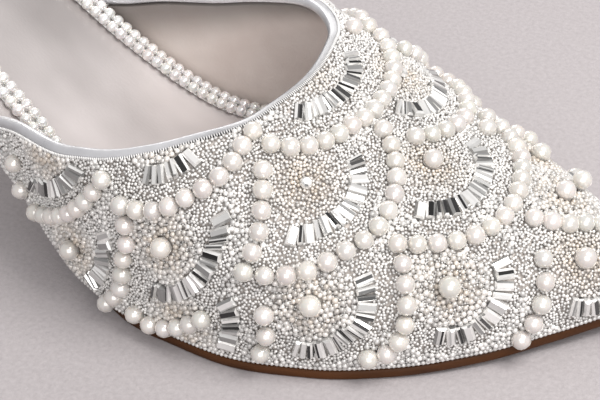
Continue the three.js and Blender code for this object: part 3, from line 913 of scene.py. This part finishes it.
# Seed beads: many places at random over the cloth, then the ones in each other's way dropped; what a
# seed keeps from is given as a share of that piece's size and a share of the seed's own
seeds = dict(
    tries=190000, rows=360, columns=320, room=(0.5, 1.2), spread=(0.86, 1.12), plain=1.08, fine=0.67,
    round=1.14, roundFine=0.76, roundReach=8.8, fineReach=14.5,
    fineUnits=("throat", "instep", "toe", "middle"), large=0.93, press=0.82, fromPearl=(0.36, 0.42),
    fromCentre=(0.4, 0.42), fromCrystal=(0.9, 0.36), fromStone=0.28, gap=(0.42, 0.54), gapRoom=0.5,
    gapLift=0.5, lift=0.27, lean=0.25, plump=1.2, flat=0.94, tone=(0.55, 1.0), silver=(1.0, 0.98, 0.955),
    gold=(0.78, 0.66, 0.53), warmest=1.15, warmReach=8, warmSpread=(0.2, 1), ball=(8, 48, 100),
    fineBall=(6, 50, 100),
)
# How far each search looks
searchReach = dict(pearl=4, stone=5, stoneUp=3, seed=2, middle=10)
net = upperGrid(0, seeds["rows"], seeds["columns"])
area = np.cross(net[1:, :-1] - net[:-1, :-1], net[:-1, 1:] - net[:-1, :-1])
area = np.linalg.norm(area, axis=-1).ravel()
row, col = np.divmod(dice.choice(area.size, seeds["tries"], p=area / area.sum()), seeds["columns"])
rowShift, colShift = dice.random((2, seeds["tries"]))
height, side = acrossUpper((col + colShift) * 2 / seeds["columns"] - 1)
share = ((row + rowShift) / seeds["rows"]) ** toeCrowding
seedPlace = upperPoint(toeEnd - (toeEnd - collarAt(height)) * share, height, side, 0)
seedPlace = seedPlace[onCloth(seedPlace, seeds["room"])]

toUnits = distances(seedPlace, allMiddles)
toUnit = toUnits.min(1)
roundSize = [seeds["roundFine" if isOneOf(name, seeds["fineUnits"]) else "round"] for name in middles]
seedSize = np.where(toUnit < seeds["roundReach"], np.array(roundSize)[toUnits.argmin(1)],
                    np.where(toUnit < seeds["fineReach"], seeds["fine"], seeds["plain"]))
seedSize = seedSize * dice.uniform(*seeds["spread"], len(seedSize))


# Strip by strip along the shoe: the points in a strip, and the others that may be within reach of them
def strips(p, others, reach):
    first = p[:, 0].min()
    strip = ((p[:, 0] - first) / reach).astype(int)
    order = np.argsort(strip, kind="stable")
    edges = np.searchsorted(strip[order], np.arange(strip.max() + 2))
    for k in range(strip.max() + 1):
        mine, start = order[edges[k]:edges[k + 1]], first + k * reach
        near = np.flatnonzero((others[:, 0] > start - reach) & (others[:, 0] < start + 2 * reach))
        if len(mine) and len(near):
            yield mine, near


# Distance from points to the nearest of the others, looked for no further than the reach
def nearest(p, others, reach):
    found = np.full(len(p), float(reach))
    for mine, near in strips(p, others, reach):
        found[mine] = np.minimum(reach, distances(p[mine], others[near]).min(1))
    return found


fanAxes = axesOn(upperNormal(fanPlace), fanAway)


# Room from points to the nearest stone, measured in each stone's own rectangle
def stoneRoom(p, reach):
    room = np.full(len(p), float(reach))
    for mine, near in strips(p, fanPlace, reach):
        local = np.einsum("pnd,ndc->pnc", p[mine, None] - fanPlace[None, near], fanAxes[near])
        block = np.c_[fanSizes[near, :2], np.full(len(near), searchReach["stoneUp"])]
        beyond = np.maximum(np.abs(local) - block, 0)
        room[mine] = np.minimum(reach, np.linalg.norm(beyond, axis=-1).min(1))
    return room


free = stoneRoom(seedPlace, searchReach["stone"]) > seedSize * seeds["fromStone"]
for others, size, (share, ownShare) in ((arcPlace, pearl["size"], seeds["fromPearl"]),
                                        (pearlMiddle, pearl["centre"], seeds["fromCentre"]),
                                        (stoneMiddle, chaton["size"], seeds["fromCrystal"])):
    free &= nearest(seedPlace, others, searchReach["pearl"]) > size * share + seedSize * ownShare
seedPlace, seedSize = seedPlace[free], seedSize[free]


# Pairs of points, both ways round, that are closer than a share of half the sum of their sizes
def closePairs(p, size):
    pairs = []
    for mine, near in strips(p, p, size.max()):
        room = (size[mine, None] + size[None, near]) / 2 * seeds["press"]
        a, b = np.nonzero(distances(p[mine], p[near]) < room)
        a, b = mine[a], near[b]
        pairs.append(np.stack([a, b])[:, a != b])
    return np.concatenate(pairs, 1)


# Random close packing: of each crowd the point with the lowest draw stays, again and again
def packed(p, size):
    a, b = closePairs(p, size)
    draw = dice.random(len(p))
    waiting, chosen = np.ones(len(p), bool), np.zeros(len(p), bool)
    while waiting.any():
        best = np.ones(len(p))
        live = waiting[a] & waiting[b]
        np.minimum.at(best, a[live], draw[b[live]])
        won = waiting & (draw < best)
        chosen |= won
        waiting &= ~won
        waiting[b[won[a]]] = False
    return chosen


chosen = packed(seedPlace, seedSize)
spare, seedPlace, seedSize = seedPlace[~chosen], seedPlace[chosen], seedSize[chosen]
gapSize = dice.uniform(*seeds["gap"], len(spare))
roomy = nearest(spare, seedPlace, searchReach["seed"]) > (seeds["fine"] + gapSize) * seeds["gapRoom"]
spare, gapSize = spare[roomy], gapSize[roomy]
chosen = packed(spare, gapSize)
gapPlace, gapSize = spare[chosen], gapSize[chosen]
toUnit = nearest(seedPlace, allMiddles, searchReach["middle"])
print("seed beads", len(seedPlace), "in gaps", len(gapPlace))
beadShape, fineShape = ballShape(*seeds["ball"]), ballShape(*seeds["fineBall"])


# Silver seeds of many tones, turned towards gold where they are warm
def beadsOn(name, places, size, shape, warm, lift):
    normal = upperNormal(places)
    lean = unit(normal + dice.normal(0, seeds["lean"], normal.shape))
    axes = axesOn(lean, unit(dice.normal(size=normal.shape)))
    sizes = size[:, None] / 2 * seeds["plump"] * np.array([1, 1, seeds["flat"]])
    tone = dice.uniform(*seeds["tone"], (len(places), 1))
    tints = tone * ((1 - warm) * np.array(seeds["silver"]) + warm * np.array(seeds["gold"]))
    addCopies(name, shape, places + normal * lift, axes, sizes, tints, "seed_bead", "beaded_cloth")


warmth = np.clip(seeds["warmest"] - toUnit / seeds["warmReach"], 0, 1)[:, None]
warmth = warmth * dice.uniform(*seeds["warmSpread"], (len(seedPlace), 1))
large, outerSide = seedSize > seeds["large"], seedPlace[:, 1] < beadwork["mirrorY"]
for name, chosen, shape in (("seed_beads", large, beadShape),
                            ("fine_seed_beads", ~large & outerSide, fineShape),
                            ("fine_seed_beads_inner", ~large & ~outerSide, fineShape)):
    beadsOn(name, seedPlace[chosen], seedSize[chosen], shape, warmth[chosen], seeds["lift"])
beadsOn("gap_beads", gapPlace, gapSize, fineShape, 0, seeds["lift"] * seeds["gapLift"])

# Bead chain along the feather line
chain = dict(size=0.95, step=0.98, up=0.55, lift=0.1, tipRoom=0.4, points=600)
foreX = toeEnd - (toeEnd - collarAt(0)) * np.linspace(0, 1, chain["points"]) ** 2
sideLine = points(foreX, centreAt(foreX) - halfAt(foreX), featherAt(foreX) + chain["up"])
footLine = np.concatenate([sideLine[::-1], mirrored(sideLine, centreAt(foreX))[1:]])
chainPlace = spaced(footLine, chain["step"])
chainPlace = chainPlace[chainPlace[:, 0] < toeEnd - chain["tipRoom"]]
beadsOn("feather_chain", chainPlace, np.full(len(chainPlace), chain["size"]), fineShape, 0, chain["lift"])

# Ticks of thread under the collar binding
stitch = dict(
    step=0.52, length=0.95, width=0.26, thick=0.44, drop=0.12, proud=0.26, ball=(6, 40, 90, 140),
)
tickPlace = spaced(rimOut - rimOff * stitch["drop"], stitch["step"])
tickNormal = upperNormal(tickPlace)
tickAlong = np.cross(tickNormal, unit(np.gradient(tickPlace, axis=0)))
tickSize = np.tile([stitch["width"] / 2, stitch["length"] / 2, stitch["thick"] / 2], (len(tickPlace), 1))
addCopies("collar_stitches", ballShape(*stitch["ball"]), tickPlace + stitch["proud"] * tickNormal,
          axesOn(tickNormal, tickAlong), tickSize, None, "thread", "silver_binding")

# Pearl trim: two rows of pearls up one side of the insole, round the heel and down the other
# The trim pearls' tone is whiter than the upper's: partly their own colour, partly painted highlight
trim = dict(
    at=[-1, -0.8, -0.625, -0.46, -0.3, -0.13, 0, 0.3], lateral=[3.2, 3.2, 4.6, 7.4, 9.4, 8, 5.2, 3.6],
    medial=[3.2, 3.2, 3.3, 3.4, 3.4, 3.4, 3.4, 3.2], front=22, points=500, pitch=2.6, pearl=2.85,
    apart=2.65, up=0.2, spread=(0.95, 1.03), tone=(0.88, 0.865, 0.85), tape=(1.8, 0.4), sides=12,
)
trimAt = {k: smoothThrough(lastPlaces(trim["at"]), trim[k]) for k in ("lateral", "medial")}


def trimHalf(x, side):
    return outlineHalf(x, insoleInset + trimAt[side](x))


trimHeel = closingPlace(lambda x: trimHalf(x, "medial"), heelBack)
trimX = trimHeel + (trim["front"] - trimHeel) * np.linspace(1, 0, trim["points"]) ** 2
lateral, medial = (points(trimX, centreAt(trimX) + way * trimHalf(trimX, side), 0)
                   for side, way in (("lateral", -1), ("medial", 1)))
trimLine = np.concatenate([lateral[:-1], [[trimHeel, centreAt(trimHeel), 0]], medial[-2::-1]])
trimLine[:, 2] = insoleAt(trimLine[:, 0])


def trimAxes(places):
    run = unit(np.gradient(places, axis=0))
    out = unit(points(-run[:, 1], run[:, 0], 0))
    return out, unit(np.cross(run, out))


# The tape that the pearls are sewn on, a flat oval carried along the line
tapePlace = spaced(trimLine, trim["pitch"] / 2)
tapeOut, tapeUp = trimAxes(tapePlace)
tapeTurn = roundAngles(trim["sides"])
tapeAcross, tapeRise = trim["tape"][0] * np.cos(tapeTurn), trim["tape"][1] * (1 + np.sin(tapeTurn))
tape = carried(tapePlace, tapeOut, tapeAcross, tapeUp, tapeRise)
addPiece(bar("trim_tape", tape), "thread", "pearl", "insole_pearl_trim")
trimPlace = spaced(trimLine, trim["pitch"])
trimOut, trimUp = trimAxes(trimPlace)

# The rows keep step, so that the pearls lie in pairs
for name, shift in (("trim_outer_pearls", trim["apart"] / 2), ("trim_inner_pearls", -trim["apart"] / 2)):
    rowPlace = trimPlace + trimOut * shift + trimUp * (trim["pearl"] / 2 + trim["up"])
    rowSizes = trim["pearl"] * dice.uniform(*trim["spread"], (len(rowPlace), 1))
    rowAxes = axesOn(trimUp, unit(dice.normal(size=rowPlace.shape)))
    addPearls(name, rowPlace, rowAxes, rowSizes, trim["tone"], "insole_pearl_trim")
print("beadwork done")

# Floor, lights and world
floorLook = dict(
    dark=(0.37, 0.341, 0.347), light=(0.456, 0.423, 0.43), rough=0.85, nap=900.0, bump=0.3, depth=0.0006,
    reach=3000, below=0.02,
)
floorFinish, tree, shader = finish("floor_finish", Roughness=floorLook["rough"])
where = node(tree, "ShaderNodeTexCoord")
nap = node(tree, "ShaderNodeTexNoise", Scale=floorLook["nap"], Detail=5.0, Roughness=0.7)
colour = twoTones(tree, floorLook)
bump = node(tree, "ShaderNodeBump", Strength=floorLook["bump"], Distance=floorLook["depth"])
wire(tree, (where, "Object", nap, "Vector"), (nap, "Fac", colour, "Fac"), (nap, "Fac", bump, "Height"),
     (bump, "Normal", shader, "Normal"), (colour, "Color", shader, "Base Color"))
floorSide = np.linspace(-floorLook["reach"], floorLook["reach"], 3)
floorGrid = np.stack(np.meshgrid(floorSide, floorSide, [-floorLook["below"]]), -1)[:, :, 0]
floor = addObject("floor", sewn("floor", [floorGrid]))
floor.data.materials.append(floorFinish)

lightAim = Vector((20, 0, 20))
lights = dict(
    key=dict(place=(340, 0, 530), size=(320, 320), power=3.2, colour=(1, 0.985, 0.965)),
    front=dict(place=(400, -560, 380), size=(700, 600), power=2.9, colour=(1, 0.99, 0.98)),
    leftBack=dict(place=(-300, 430, 330), size=(340, 260), power=1.0, colour=(1, 0.98, 0.96)),
)
for name, light in lights.items():
    lamp = bpy.data.lights.new(name, "AREA")
    lamp.shape, lamp.energy, lamp.color = "RECTANGLE", light["power"], light["colour"]
    lamp.size, lamp.size_y = light["size"][0] * mm, light["size"][1] * mm
    holder = addObject(name, lamp)
    holder.location = Vector(light["place"]) * mm
    holder.rotation_euler = (lightAim - Vector(light["place"])).to_track_quat("-Z", "Y").to_euler()
sky = dict(Color=(0.93, 0.92, 0.93, 1), Strength=0.64)
world = bpy.data.worlds.new("studio")
world.use_nodes = True
setInputs(world.node_tree.nodes["Background"], sky)
bpy.context.scene.world = world
print("stage and lights done")
